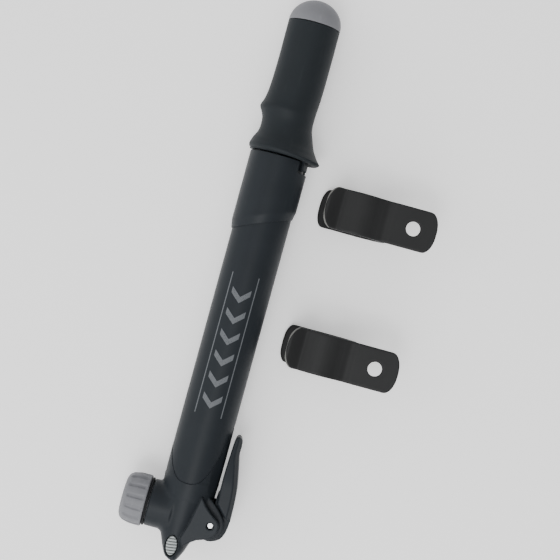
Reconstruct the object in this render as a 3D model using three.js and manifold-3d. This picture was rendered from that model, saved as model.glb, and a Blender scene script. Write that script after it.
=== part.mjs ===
// A hand-held mini pump with a lever head, lying on its side beside its two spring mounting clips.
// Millimetres, +Z up. The pump's axis runs along Y, from the tip of the head (y = 0) to the handle.
// The valve socket opens towards -X, the lever and the clips are on the +X side.
import * as THREE from "three";
import { mergeVertices } from "three/addons/utils/BufferGeometryUtils.js";
import Module from "manifold-3d";

const wasm = await Module();
wasm.setup();

// ---- driving dimensions ----
const ROUND = 40; // sides of the large round pieces
const INNER_ROUND = 28; // sides of the pieces inside
const SMALL_ROUND = 20; // sides of the small ones
const FIT_GAP = 0.3; // between two pieces that touch on the real object

const BARREL_R = 11.6;
const BORE_R = 9.0;
const SPIGOT_R = 10.2; // the barrel's end inside the head
const BARREL_START = 28.6;
const BARREL_END = 171.7;
const BARREL_FLOOR = 4.9; // thickness of the wall at the barrel's lower end
const VALVE_WELL_R = 3.6; // round well of the one-way valve
const BARREL_SEAL = { y: 30.0, centreR: 10.0, wireR: 0.42, grooveR: 9.5, grooveHalf: 0.6 };

const SEAM_LOW = 33.4; // lowest point of the U-shaped seam between head and barrel
const SEAM_RISE = 13.0;
const SEAM_HALF_WIDTH = 10.2;
const SEAM_CENTRE = -1.4;

const COLLAR_R = 12.7;
const COLLAR_END = 174.3;
const COLLAR_PLATE = 2.4;
const COLLAR_EDGE = 147.2; // height of the slanted edge on the axis
const COLLAR_SLANT = 0.378; // its rise per millimetre across
const NOTCH_FROM = -18; // degrees round the axis, from +X towards +Z
const NOTCH_TO = 46;
const NOTCH_FLOOR = 169.6;
const TONGUE_FROM = 10;
const TONGUE_TO = 34;

const SOCKET_Y = 20.6; // axis of the valve socket, along X
const BOSS_R = 9.9;
const BOSS_FACE = -14.5;
const SOCKET_THREAD_R = 8.2;
const NUT_R = 10.6;
const NUT_BACK = -15.9;
const NUT_FACE = -26.1;
const NUT_RIBS = 14;
const NUT_GROOVE = 0.5;
const VALVE_HOLE_R = 4.2;

const PIN = { x: 12.6, y: 18.9, r: 1.35 };
const SLOT_R = 8.0; // round bottom of the lever's slot, about the pin
const SLOT_TOP_X = 11.5; // flat side of the slot's upper part
const EAR_INNER = 5.9; // half gap between the ears
const EAR_OUTER = 8.3;
const HUB_HALF = 5.6; // half width of the lever's hub between the ears
const LEVER_HALF = 8.0;
const CAM_START_R = 6.0; // cam radius towards the plunger, lever closed
const CAM_END_R = 7.1; // the same with the lever at a right angle

const ROD_R = 3.8;
const PISTON_Y = 37.0;
const PISTON_LENGTH = 4.0;

const GRIP_OFFSET = -0.65; // the grip's axis lies a little off the rod's
const GRIP_R = 11.1;
const GRIP_BORE_R = 9.2;
const HANDLE_START = 174.9;
const CORE_DISC_R = 13.0; // end disc of the handle's core, which carries the lock tongue
const CORE_DISC_END = 177.0;
const CORE_END = 228;
const GRIP_END = 231.0;
const CAP_END = 241.9;
const CAP_WALL = 2.0;

const INLAY = { x: -0.75, y: 6.6, halfWidth: 2.5, halfLength: 4.5, floor: 5.4, top: 7.4 };

const CLIP_AXIS_X = 37.8;
const CLIP_WIDTH = 17.9;
const CLIP_WALL = 2.2;
const CLIP_R = 12.8; // mid-wall radius of the clip's snap ring
const CLIP_THROAT_X = -7.0; // narrowest place of its mouth, from the ring's axis
const CLIP_HOLE = { x: 23.2, r: 3.0 };
const CLIP_TAB_Z = 10.0; // mid-plane of the bolt tab above the ring's axis
const CLIP_TAB_END = 33.1;
const CLIP_TAB_BOW = 5.4; // how far the tab's rounded end reaches beyond its corners
const CLIP_LIPS = { upperX: -14.5, upperBow: 4.4, lowerX: -16.2, lowerBow: 5.0 };
const CLIP_PLACES = { clip_upper: 159.5, clip_lower: 99.55 };

// ---- materials ----
const material = (color, roughness, metalness = 0) =>
  new THREE.MeshStandardMaterial({ color, roughness, metalness });
const BLACK_PLASTIC = material(0x2b3034, 0.42);
const BLACK_MATTE = material(0x26282a, 0.62);
const CLIP_PLASTIC = material(0x303234, 0.5);
const GREY_PLASTIC = material(0x75767a, 0.48);
const PALE_RUBBER = material(0xaeb4b6, 0.6);
const SEAL_RUBBER = material(0x1c1c1e, 0.75);
const WHITE_PLASTIC = material(0xe4e4e0, 0.45);
const STEEL = material(0xc2c4c6, 0.3, 1);
const ALUMINIUM = material(0xc9ccd0, 0.35, 1);

// ---- solids ----
// A closed three.js geometry as a solid that can be joined and cut.
function solid(geometry) {
  const plain = geometry.clone();
  plain.deleteAttribute("normal");
  plain.deleteAttribute("uv");
  const merged = mergeVertices(plain, 1e-4);
  return new wasm.Manifold(
    new wasm.Mesh({
      numProp: 3,
      vertProperties: new Float32Array(merged.attributes.position.array),
      triVerts: new Uint32Array(merged.index.array),
    }),
  );
}

// A solid back as a geometry.
function geometryOf(body) {
  const mesh = body.getMesh();
  const geometry = new THREE.BufferGeometry();
  geometry.setAttribute("position", new THREE.BufferAttribute(mesh.vertProperties, 3));
  geometry.setIndex(new THREE.BufferAttribute(mesh.triVerts, 1));
  geometry.computeVertexNormals();
  return geometry;
}

// A profile of [radius, y] points, from the axis to the axis or closed on itself, turned about Y.
function turned(profile, sides = ROUND) {
  const points = profile.map(([r, y]) => new THREE.Vector2(r, y));
  return new THREE.LatheGeometry(points, sides);
}

// A ring of rectangular section, turned about Y.
function ring(inner, outer, from, to, sides = ROUND) {
  return turned([[inner, from], [outer, from], [outer, to], [inner, to], [inner, from]], sides);
}

function disc(radius, from, to, sides = ROUND) {
  return turned([[0, from], [radius, from], [radius, to], [0, to]], sides);
}

// The same shapes turned about X through the valve socket, their length measured along X.
function alongSocket(geometry) {
  return geometry.rotateZ(-Math.PI / 2).translate(0, SOCKET_Y, 0);
}

// A flat outline of [x, y] points, from one z to another.
function plate(outline, fromZ, toZ) {
  const shape = new THREE.Shape(outline.map(([x, y]) => new THREE.Vector2(x, y)));
  const geometry = new THREE.ExtrudeGeometry(shape, { depth: toZ - fromZ, bevelEnabled: false });
  return geometry.translate(0, 0, fromZ);
}

// Points on an arc about a centre, angles in degrees.
function arc(cx, cy, radius, from, to, steps) {
  return Array.from({ length: steps + 1 }, (_, i) => {
    const angle = THREE.MathUtils.degToRad(from + ((to - from) * i) / steps);
    return [cx + radius * Math.cos(angle), cy + radius * Math.sin(angle)];
  });
}

// A pin along Z.
function pinAlongZ(x, y, radius, fromZ, toZ, sides = SMALL_ROUND) {
  return disc(radius, fromZ, toZ, sides).rotateX(Math.PI / 2).translate(x, y, 0);
}

// A wedge of a ring about Y, between two angles in degrees measured from +X towards +Z.
function ringWedge(inner, outer, fromAngle, toAngle, from, to) {
  const steps = 6;
  const outline = [
    ...arc(0, 0, outer, fromAngle, toAngle, steps),
    ...arc(0, 0, inner, toAngle, fromAngle, steps),
  ];
  // The outline's second axis becomes Z, and its thickness runs along Y.
  return plate(outline, 0, to - from).rotateX(Math.PI / 2).translate(0, to, 0);
}

// A round body about Y whose rings shift sideways: stations of [radius, y, sideways shift].
function shiftedRound(stations, sides = ROUND) {
  const geometry = turned([[0, stations[0][1]], ...stations, [0, stations.at(-1)[1]]], sides);
  const position = geometry.attributes.position;
  const shiftAt = (y) => {
    const next = stations.findIndex((s) => s[1] >= y - 1e-6);
    if (next <= 0) return stations[0][2];
    const [a, b] = [stations[next - 1], stations[next]];
    return a[2] + ((b[2] - a[2]) * (y - a[1])) / (b[1] - a[1]);
  };
  for (let i = 0; i < position.count; i++) {
    position.setX(i, position.getX(i) + shiftAt(position.getY(i)));
  }
  return geometry;
}

// An oval body about Y with squared-off ovals: stations of [half width, half height, y, sideways shift].
function ovalLoft(stations, sides = ROUND) {
  const squareness = 2.5;
  const geometry = turned(
    [[0, stations[0][2]], ...stations.map((s) => [1, s[2]]), [0, stations.at(-1)[2]]],
    sides,
  );
  const position = geometry.attributes.position;
  for (let i = 0; i < position.count; i++) {
    const y = position.getY(i);
    const [halfWidth, halfHeight, , shift] = stations.find((s) => Math.abs(s[2] - y) < 1e-3);
    const [x, z] = [position.getX(i), position.getZ(i)];
    const oval = (Math.abs(x) ** squareness + Math.abs(z) ** squareness) ** (1 / squareness) || 1;
    const swell = Math.hypot(x, z) / oval;
    position.setX(i, x * halfWidth * swell + shift);
    position.setZ(i, z * halfHeight * swell);
  }
  return geometry;
}

// A ring seal about Y.
function seal(centreR, wireR, y, sides = INNER_ROUND) {
  const section = arc(centreR, y, wireR, 0, 360, 6);
  section[section.length - 1] = section[0];
  return turned(section, sides);
}

// The side of the seam that belongs to the head: everything below the U, raised by lift.
function belowSeam(lift) {
  const steps = 16;
  const edge = Array.from({ length: steps + 1 }, (_, i) => {
    const x = -13 + (26 * i) / steps;
    const across = Math.abs((x - SEAM_CENTRE) / SEAM_HALF_WIDTH);
    return [x, SEAM_LOW + SEAM_RISE * across ** 3 + lift];
  });
  return plate([[-13, -5], [13, -5], ...edge.reverse()], -20, 20);
}

// ---- barrel ----
function barrelTube() {
  const floorTop = BARREL_START + BARREL_FLOOR;
  const tube = solid(ring(BORE_R, BARREL_R, BARREL_START, BARREL_END));
  const floor = solid(ring(VALVE_WELL_R, BORE_R + 0.5, BARREL_START, floorTop));
  const spigotSpace = solid(ring(SPIGOT_R, 14, BARREL_START - 1, 70))
    .intersect(solid(belowSeam(FIT_GAP)));
  const { y, grooveR, grooveHalf } = BARREL_SEAL;
  const sealGroove = solid(ring(grooveR, BARREL_R, y - grooveHalf, y + grooveHalf));
  const tongueSpace = solid(ringWedge(10.9, 14, NOTCH_FROM, NOTCH_TO, NOTCH_FLOOR - 0.3, 175));
  return tube.add(floor).subtract(spigotSpace).subtract(sealGroove).subtract(tongueSpace);
}

function lockCollar() {
  const wall = ring(BARREL_R + FIT_GAP, COLLAR_R, 138, COLLAR_END);
  const endPlate = ring(6.2, COLLAR_R - 0.3, COLLAR_END - COLLAR_PLATE + 0.3, COLLAR_END);
  const edgeAt = (x) => COLLAR_EDGE + COLLAR_SLANT * x;
  const belowEdge = plate([[-15, 130], [15, 130], [15, edgeAt(15)], [-15, edgeAt(-15)]], -15, 15);
  const notch = ringWedge(11.0, 14, NOTCH_FROM, NOTCH_TO, NOTCH_FLOOR, COLLAR_END + 1);
  return solid(wall).add(solid(endPlate)).subtract(solid(belowEdge)).subtract(solid(notch));
}

function rodBush() {
  return solid(ring(ROD_R + 0.2, 8.7, 166, BARREL_END - 0.1, INNER_ROUND));
}

// ---- head ----
function headHousing() {
  const body = ovalLoft([
    [1.6, 5.0, 0, -0.5],
    [3.3, 6.6, 0.9, -0.4],
    [4.7, 7.4, 3.0, -0.2],
    [5.5, 7.9, 6.0, -0.1],
    [6.7, 8.4, 9.2, 0],
    [8.4, 9.3, 15, 0],
    [10.2, 10.6, 24, 0],
    [11.0, 11.2, 29, 0],
  ]);
  const sleeve = turned([
    [0, 28], [11.2, 28], [11.6, 33], [11.9, 39], [11.9, 47], [11.6, 51], [11.6, 58], [0, 58],
  ]);
  const boss = alongSocket(disc(BOSS_R, BOSS_FACE, 2));
  const earOutline = [
    [6.0, 31.2], [9.6, 29.4], [13.3, 26.8], [16.8, 23.1], [18.0, 20.6], [18.2, 17.6],
    [17.3, 15.1], [14.8, 13.3], [10.3, 11.5], [6.3, 9.8], [1.3, 11.5], [-2, 20],
  ];
  const ears = plate(earOutline, -EAR_OUTER, EAR_OUTER);
  // The slot is round about the pin, open towards +X, and reaches up between the ears' tops.
  const slotOutline = [
    [PIN.x, 4], [26, 4], [26, 34], [SLOT_TOP_X, 34], [SLOT_TOP_X, 24.5], [PIN.x, 24.5],
  ];
  const leverSlot = solid(pinAlongZ(PIN.x, PIN.y, SLOT_R, -EAR_INNER, EAR_INNER, ROUND))
    .add(solid(plate(slotOutline, -EAR_INNER, EAR_INNER)));
  const barrelSpace = disc(SPIGOT_R + FIT_GAP, BARREL_START - FIT_GAP, 60);
  const threadSpace = alongSocket(disc(SOCKET_THREAD_R, BOSS_FACE - 1, -5));
  const plungerSpace = alongSocket(disc(6.8, -6, 1.7));
  const stemSpace = alongSocket(disc(3.3, 0, 7, SMALL_ROUND));
  const airPort = disc(1.0, 24, 29, SMALL_ROUND).translate(-2.5, 0, 0);
  const pinHole = pinAlongZ(PIN.x, PIN.y, PIN.r + 0.1, -20, 20);
  let head = solid(sleeve).intersect(solid(belowSeam(0))).add(solid(body));
  head = head.add(solid(boss)).add(solid(ears)).subtract(leverSlot);
  for (const space of [barrelSpace, threadSpace, plungerSpace, stemSpace, airPort]) {
    head = head.subtract(solid(space));
  }
  head = head.subtract(solid(pinHole));
  for (const side of [1, -1]) {
    head = head.subtract(solid(inlay(side, FIT_GAP, INLAY.floor - FIT_GAP, 12)));
  }
  return head;
}

// The oval insert on one side of the nose, grown by a margin.
function inlay(side, margin, fromZ, toZ) {
  const outline = arc(0, 0, 1, 0, 360, 20).slice(0, -1).map(([x, y]) => [
    INLAY.x + x * (INLAY.halfWidth + margin),
    INLAY.y + y * (INLAY.halfLength + margin),
  ]);
  return side > 0 ? plate(outline, fromZ, toZ) : plate(outline, -toZ, -fromZ);
}

function leverPin() {
  return solid(pinAlongZ(PIN.x, PIN.y, PIN.r, -EAR_OUTER - 0.1, EAR_OUTER + 0.1));
}

// ---- lever ----
function lever() {
  const arm = plate([
    [12.9, 28.1], [17.4, 23.4], [20.1, 22.0], [20.0, 27.7], [19.9, 31.1], [19.6, 35.0],
    [18.2, 42.5], [17.4, 46.3], [16.6, 50.0], [16.7, 53.0], [16.3, 56.0], [15.3, 57.2],
    [13.9, 57.0], [13.1, 55.4], [12.9, 50.0], [12.6, 45.0], [12.5, 40.0], [12.6, 33.0],
  ], -LEVER_HALF, LEVER_HALF);
  // The cam grows evenly from the plunger's side, by a quarter turn, to the head's end.
  const camSteps = 12;
  const cam = Array.from({ length: camSteps + 1 }, (_, i) => {
    const angle = THREE.MathUtils.degToRad(170 + (115 * i) / camSteps);
    const grown = THREE.MathUtils.clamp((115 * i) / camSteps - 10, 0, 90) / 90;
    const radius = CAM_START_R + (CAM_END_R - CAM_START_R) * grown;
    return [PIN.x + radius * Math.cos(angle), PIN.y + radius * Math.sin(angle)];
  });
  const hub = plate([
    [13.0, 32.2], [12.2, 31.7], [11.9, 27.0], [10.7, 25.6], [9.0, 24.2], [7.4, 22.2], ...cam,
    [16.3, 12.7], [18.0, 13.9], [19.3, 16.4], [19.9, 19.2], [20.1, 22.0], [19.4, 28.0], [16.0, 32.0],
  ], -HUB_HALF, HUB_HALF);
  const pinHole = pinAlongZ(PIN.x, PIN.y, PIN.r + 0.1, -20, 20);
  return solid(arm).add(solid(hub)).subtract(solid(pinHole));
}

// ---- valve socket ----
function valveNut() {
  const ribbed = Array.from({ length: NUT_RIBS * 4 }, (_, i) => {
    const angle = (Math.PI * 2 * i) / (NUT_RIBS * 4);
    const radius = i % 4 < 3 ? NUT_R : NUT_R - NUT_GROOVE;
    return [radius * Math.cos(angle), radius * Math.sin(angle)];
  });
  const grip = plate(ribbed, NUT_FACE, NUT_BACK).rotateY(Math.PI / 2).translate(0, SOCKET_Y, 0);
  const rounded = turned([
    [0, NUT_FACE], [6.6, NUT_FACE], [8.6, NUT_FACE + 1.0], [10.0, NUT_FACE + 2.8],
    [NUT_R, NUT_FACE + 5.4], [NUT_R, NUT_BACK], [0, NUT_BACK],
  ]);
  const sleeve = disc(7.9, NUT_BACK - 0.5, -5.5);
  const bore = disc(VALVE_HOLE_R, NUT_FACE - 1, -20);
  const hollow = disc(6.9, NUT_FACE + 2.6, -4);
  let nut = solid(grip).intersect(solid(alongSocket(rounded)));
  nut = nut.add(solid(alongSocket(sleeve)));
  return nut.subtract(solid(alongSocket(bore))).subtract(solid(alongSocket(hollow)));
}

const socketPieces = {
  nut_ring: () => ring(SOCKET_THREAD_R, 10.3, NUT_BACK + 0.3, BOSS_FACE - 0.3),
  valve_gasket: () => turned([
    [3.9, -23.2], [6.6, -23.2], [6.6, -13.6], [3.9, -13.6], [3.9, -23.2],
  ], INNER_ROUND),
  gasket_washer: () => ring(4.2, 6.5, -11.9, -10.9, INNER_ROUND),
  plunger: () => {
    const body = turned([
      [0, -4.0], [4.3, -4.0], [4.3, -10.6], [6.5, -10.6], [6.5, -1.6], [5.3, -1.6],
      [5.3, 0.2], [6.5, 0.2], [6.5, 1.1], [3.0, 1.1], [3.0, 6.3], [0, 6.3],
    ], INNER_ROUND);
    const airHole = pinAlongZ(0, -7.8, 1.2, -8, 8, 12);
    return geometryOf(solid(body).subtract(solid(airHole)));
  },
  plunger_oring: () => seal(6.0, 0.62, -0.7),
  core_depressor: () => turned([
    [0, -14.5], [0.7, -14.5], [0.9, -14.2], [0.9, -5.6], [3.4, -5.6], [3.4, -4.3], [0, -4.3],
  ], SMALL_ROUND),
};

// ---- one-way valve ----
function checkValveSpring() {
  const [turns, from, to, radius] = [3, 29.1, 31.9, 2.5];
  class Helix extends THREE.Curve {
    getPoint(t, target = new THREE.Vector3()) {
      const angle = t * turns * Math.PI * 2;
      return target.set(radius * Math.cos(angle), from + (to - from) * t, radius * Math.sin(angle));
    }
  }
  const wire = new THREE.Shape(arc(0, 0, 0.22, 0, 288, 4).map(([x, y]) => new THREE.Vector2(x, y)));
  return solid(new THREE.ExtrudeGeometry(wire, { steps: 30, extrudePath: new Helix() }));
}

// ---- piston and handle ----
function pistonBody() {
  const top = PISTON_Y + PISTON_LENGTH;
  return solid(turned([
    [1.8, 38.9], [3.8, 38.9], [3.8, PISTON_Y], [8.8, PISTON_Y], [8.8, 38.3], [7.3, 38.3],
    [7.3, 40.1], [8.8, 40.1], [8.8, top], [1.8, top], [1.8, 38.9],
  ], INNER_ROUND));
}

function pistonScrew() {
  return solid(turned([[0, 37.2], [3.4, 37.2], [3.4, 38.6], [1.5, 38.6], [1.5, 47], [0, 47]], SMALL_ROUND));
}

function pistonRod() {
  return solid(turned([
    [0, 47.6], [1.8, 47.6], [1.8, 41.3], [ROD_R, 41.3], [ROD_R, 236.0], [0, 236.0],
  ], SMALL_ROUND));
}

// The inner part: an end disc with the lock tongue, and the stem that the grip is pushed onto.
function handleCore() {
  const endDisc = disc(CORE_DISC_R, HANDLE_START, CORE_DISC_END);
  const stem = disc(GRIP_BORE_R - FIT_GAP, CORE_DISC_END - 1, CORE_END).translate(GRIP_OFFSET, 0, 0);
  const rodSpace = disc(ROD_R + 0.2, 170, 240, SMALL_ROUND);
  const tongue = ringWedge(11.3, 12.6, TONGUE_FROM, TONGUE_TO, 170.6, CORE_DISC_END - 1);
  return solid(endDisc).add(solid(stem)).subtract(solid(rodSpace)).add(solid(tongue));
}

// The outer part: flange, waist, finger ridge and grip in one moulding.
function handleGrip() {
  const outside = shiftedRound([
    [14.6, HANDLE_START, 0.6],
    [15.6, 175.9, 1.4],
    [15.0, 177.2, 1.0],
    [14.3, 178.6, 0.7],
    [13.1, 180.4, 0.4],
    [12.2, 182.2, 0.3],
    [11.6, 184.0, 0.1],
    [11.1, 186.0, -0.3],
    [10.9, 187.3, -0.6],
    [11.0, 189.4, -1.0],
    [11.4, 191.2, -1.5],
    [11.8, 193.5, -1.9],
    [11.6, 195.3, -1.7],
    [11.3, 198.7, -1.2],
    [11.1, 204, -0.75],
    [GRIP_R, 209, GRIP_OFFSET],
    [GRIP_R, GRIP_END, GRIP_OFFSET],
  ]);
  const bore = disc(GRIP_BORE_R, 170, 240).translate(GRIP_OFFSET, 0, 0);
  const discSpace = disc(CORE_DISC_R + FIT_GAP, 170, CORE_DISC_END + FIT_GAP);
  return solid(outside).subtract(solid(bore)).subtract(solid(discSpace));
}

function handleCap() {
  const seam = GRIP_END + FIT_GAP;
  const height = CAP_END - seam;
  const dome = (radius, rise, from, to, steps) => arc(0, 0, 1, from, to, steps).map(([c, s]) => [
    Math.max(radius * c, 0), seam + rise * s,
  ]);
  const outer = dome(GRIP_R, height, 0, 90, 8);
  const inner = dome(GRIP_R - CAP_WALL, height - CAP_WALL, 90, 0, 4);
  outer[outer.length - 1][0] = 0;
  inner[0][0] = 0;
  return turned([...inner, ...outer]).translate(GRIP_OFFSET, 0, 0);
}

function rodNut() {
  return solid(disc(6.2, 228.4, 232.6, 6))
    .subtract(solid(disc(ROD_R + 0.2, 220, 240, SMALL_ROUND)));
}

// ---- clips ----
// The outline of a strip of even thickness along a middle line.
function strip(line, thickness) {
  const half = thickness / 2;
  const offset = (side) => line.map(([x, y], i) => {
    const [x0, y0] = line[Math.max(i - 1, 0)];
    const [x1, y1] = line[Math.min(i + 1, line.length - 1)];
    const length = Math.hypot(x1 - x0, y1 - y0);
    return [x - (side * half * (y1 - y0)) / length, y + (side * half * (x1 - x0)) / length];
  });
  return [...offset(-1), ...offset(1).reverse()];
}

function clip(y) {
  const throat = THREE.MathUtils.radToDeg(Math.acos(CLIP_THROAT_X / CLIP_R));
  const ringLine = arc(0, 0, CLIP_R, throat, -throat, 20);
  const midLine = [
    [-13.6, 13.9], [-11.8, 12.8], [-9.8, 11.5], [-8.3, 10.8], ...ringLine,
    [-8.3, -10.8], [-9.8, -11.5], [-12.2, -12.7], [-15.8, -13.7],
  ];
  const [low, high] = [CLIP_TAB_Z - CLIP_WALL / 2, CLIP_TAB_Z + CLIP_WALL / 2];
  const tab = [[7.4, low], [CLIP_TAB_END, low], [CLIP_TAB_END, high], [5.6, high]];
  const half = CLIP_WIDTH / 2;
  // An end that bows outwards and runs into the sides: its reach at a place across the clip.
  const bowed = (across, bow) => bow * (1 - (1 - Math.abs(across / half) ** 2.3) ** (1 / 2.3));
  const places = [-1, -0.97, -0.88, -0.7, -0.4, 0, 0.4, 0.7, 0.88, 0.97, 1].map((t) => t * half);
  const planFor = (lipX, lipBow) => [
    ...places.map((across) => [CLIP_TAB_END - bowed(across, CLIP_TAB_BOW), across]),
    ...places.toReversed().map((across) => [lipX + bowed(across, lipBow), across]),
  ];
  const plan = solid(plate(planFor(CLIP_LIPS.upperX, CLIP_LIPS.upperBow), 0, 30))
    .add(solid(plate(planFor(CLIP_LIPS.lowerX, CLIP_LIPS.lowerBow), -30, 0)));
  // The side outline is drawn in X and Z, and its thickness runs along Y.
  const across = (outline) => solid(plate(outline, -half - 1, half + 1).rotateX(Math.PI / 2));
  const hole = pinAlongZ(CLIP_HOLE.x, 0, CLIP_HOLE.r, -30, 30);
  const body = across(strip(midLine, CLIP_WALL)).add(across(tab));
  return body.intersect(plan).subtract(solid(hole)).translate([CLIP_AXIS_X, y, 0]);
}

// ---- assembly ----
const pump = new THREE.Group();

function add(name, shape, finish) {
  const geometry = shape.isBufferGeometry ? shape : geometryOf(shape);
  const mesh = new THREE.Mesh(geometry, finish);
  mesh.name = name;
  pump.add(mesh);
}

add("barrel_tube", barrelTube(), BLACK_PLASTIC);
add("lock_collar", lockCollar(), BLACK_PLASTIC);
add("rod_bush", rodBush(), WHITE_PLASTIC);
add("barrel_oring", seal(BARREL_SEAL.centreR, BARREL_SEAL.wireR, BARREL_SEAL.y), SEAL_RUBBER);
add("head_housing", headHousing(), BLACK_PLASTIC);
add("inlay_front", inlay(1, 0, INLAY.floor, INLAY.top), PALE_RUBBER);
add("inlay_rear", inlay(-1, 0, INLAY.floor, INLAY.top), PALE_RUBBER);
add("lever_pin", leverPin(), STEEL);
add("lever", lever(), BLACK_PLASTIC);
add("valve_nut", valveNut(), GREY_PLASTIC);
const socketFinish = {
  nut_ring: BLACK_MATTE,
  valve_gasket: SEAL_RUBBER,
  gasket_washer: WHITE_PLASTIC,
  plunger: WHITE_PLASTIC,
  plunger_oring: SEAL_RUBBER,
  core_depressor: STEEL,
};
for (const [name, make] of Object.entries(socketPieces)) {
  add(name, alongSocket(make()), socketFinish[name]);
}
add("check_valve_seat", ring(1.6, 8.7, 33.8, 35.9, INNER_ROUND), WHITE_PLASTIC);
add("check_valve_disc", disc(3.1, 32.3, 33.5, SMALL_ROUND), SEAL_RUBBER);
add("check_valve_spring", checkValveSpring(), STEEL);
add("piston", pistonBody(), WHITE_PLASTIC);
add("piston_seal", seal(8.12, 0.76, 39.2), SEAL_RUBBER);
add("piston_screw", pistonScrew(), STEEL);
add("stop_bumper", ring(ROD_R + 0.2, 6.4, 41.5, 45.0, SMALL_ROUND), SEAL_RUBBER);
add("piston_rod", pistonRod(), ALUMINIUM);
add("handle_core", handleCore(), BLACK_PLASTIC);
add("handle_grip", handleGrip(), BLACK_MATTE);
add("handle_cap", handleCap(), GREY_PLASTIC);
add("rod_nut", rodNut(), STEEL);
for (const [name, y] of Object.entries(CLIP_PLACES)) {
  add(name, clip(y), CLIP_PLASTIC);
}

// The origin is the middle of the underside of the whole object's box.
const box = new THREE.Box3().setFromObject(pump);
const centre = box.getCenter(new THREE.Vector3());
pump.position.set(-centre.x, -centre.y, -box.min.z);

export default pump;
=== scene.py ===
"""The looks of a hand-held mini pump with a lever head and two spring clips.

Shapes are worked out in the pump's own millimetres: x across, y along the pump from the tip of the
head, z up, with x = z = 0 on the pump's axis. place() carries them into the frame's metres.
"""
import math

import bmesh
import bpy
import numpy as np
from mathutils import Matrix, Vector


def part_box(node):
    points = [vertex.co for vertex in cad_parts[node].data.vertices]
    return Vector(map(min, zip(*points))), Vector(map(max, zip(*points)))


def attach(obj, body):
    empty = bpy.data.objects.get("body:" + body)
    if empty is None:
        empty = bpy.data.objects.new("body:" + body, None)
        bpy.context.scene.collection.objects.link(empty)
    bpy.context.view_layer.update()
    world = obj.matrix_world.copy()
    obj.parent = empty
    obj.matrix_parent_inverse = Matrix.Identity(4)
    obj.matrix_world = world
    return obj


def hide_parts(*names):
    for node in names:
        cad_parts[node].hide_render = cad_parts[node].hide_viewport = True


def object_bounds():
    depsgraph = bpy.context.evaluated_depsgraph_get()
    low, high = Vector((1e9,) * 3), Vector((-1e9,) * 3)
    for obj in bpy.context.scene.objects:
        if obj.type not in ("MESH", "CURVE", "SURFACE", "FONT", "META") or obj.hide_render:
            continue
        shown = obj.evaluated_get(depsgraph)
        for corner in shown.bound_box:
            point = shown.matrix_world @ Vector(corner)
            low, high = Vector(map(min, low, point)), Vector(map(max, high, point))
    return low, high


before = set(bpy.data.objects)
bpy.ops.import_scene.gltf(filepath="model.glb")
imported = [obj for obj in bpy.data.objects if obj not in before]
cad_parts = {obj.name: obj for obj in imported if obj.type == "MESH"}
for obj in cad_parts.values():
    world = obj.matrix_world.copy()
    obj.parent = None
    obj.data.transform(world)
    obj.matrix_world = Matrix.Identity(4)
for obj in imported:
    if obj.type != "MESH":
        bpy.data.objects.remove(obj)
CAD_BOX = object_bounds()

MM = 0.001
TAU = 2 * math.pi


def middle(node, axis):
    """The middle of a node along an axis, in the frame's metres."""
    low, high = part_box(node)
    return (low[axis] + high[axis]) / 2


def span(node, axis):
    """The lowest and highest place of a node along an axis, in pump millimetres."""
    low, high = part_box(node)
    return (low[axis] - ORIGIN[axis]) / MM, (high[axis] - ORIGIN[axis]) / MM


ORIGIN = np.array([
    middle("barrel_tube", 0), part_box("head_housing")[0][1], middle("barrel_tube", 2),
])


def place(points):
    """Carries points from pump millimetres into the frame's metres."""
    return points * MM + ORIGIN


# ---- sizes, in pump millimetres ----
BARREL_R = span("barrel_tube", 0)[1]
BARREL_LOW, BARREL_TOP = span("barrel_tube", 1)
COLLAR_R = span("lock_collar", 0)[1]
COLLAR_TOP = span("lock_collar", 1)[1]
FLANGE_LOW, GRIP_TOP = span("handle_grip", 1)
CAP_LOW, CAP_TOP = span("handle_cap", 1)
ROD_R = span("piston_rod", 0)[1]
ROD_LOW, ROD_TOP = span("piston_rod", 1)
NUT_FACE = span("valve_nut", 0)[0]
# the nut is round, and stands a little outside the middle of the frame's facets
NUT_PROUD = 0.3
NUT_R = span("valve_nut", 2)[1] + NUT_PROUD
RING_LOW, RING_HIGH = span("nut_ring", 0)
SOCKET_Y = (middle("nut_ring", 1) - ORIGIN[1]) / MM
PIN_X = (middle("lever_pin", 0) - ORIGIN[0]) / MM
PIN_Y = (middle("lever_pin", 1) - ORIGIN[1]) / MM
PIN_HALF = span("lever_pin", 2)[1]
CLIP_LEFT, CLIP_RIGHT = span("clip_upper", 0)
CLIP_TOP = span("clip_upper", 2)[1]
# a clip's tab reaches this far from the middle of its ring
CLIP_TAB = 33.1
CLIP_CENTRE = CLIP_RIGHT - CLIP_TAB
CLIP_HALF = (span("clip_upper", 1)[1] - span("clip_upper", 1)[0]) / 2
CLIP_PLACES = [sum(span(node, 1)) / 2 for node in ("clip_upper", "clip_lower")]
LIP_END, LIP_BOW = -14.9, 5.4
# the handle's grip and cap sit this far to the left of the barrel's axis
GRIP_SHIFT = -0.65
INLAY_X, INLAY_Y = -0.75, 6.6
INLAY_HALF_WIDTH, INLAY_HALF_LENGTH = 2.4, 4.4
RIB_PITCH, RIB_LEAN = 1.26, 0.14


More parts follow.
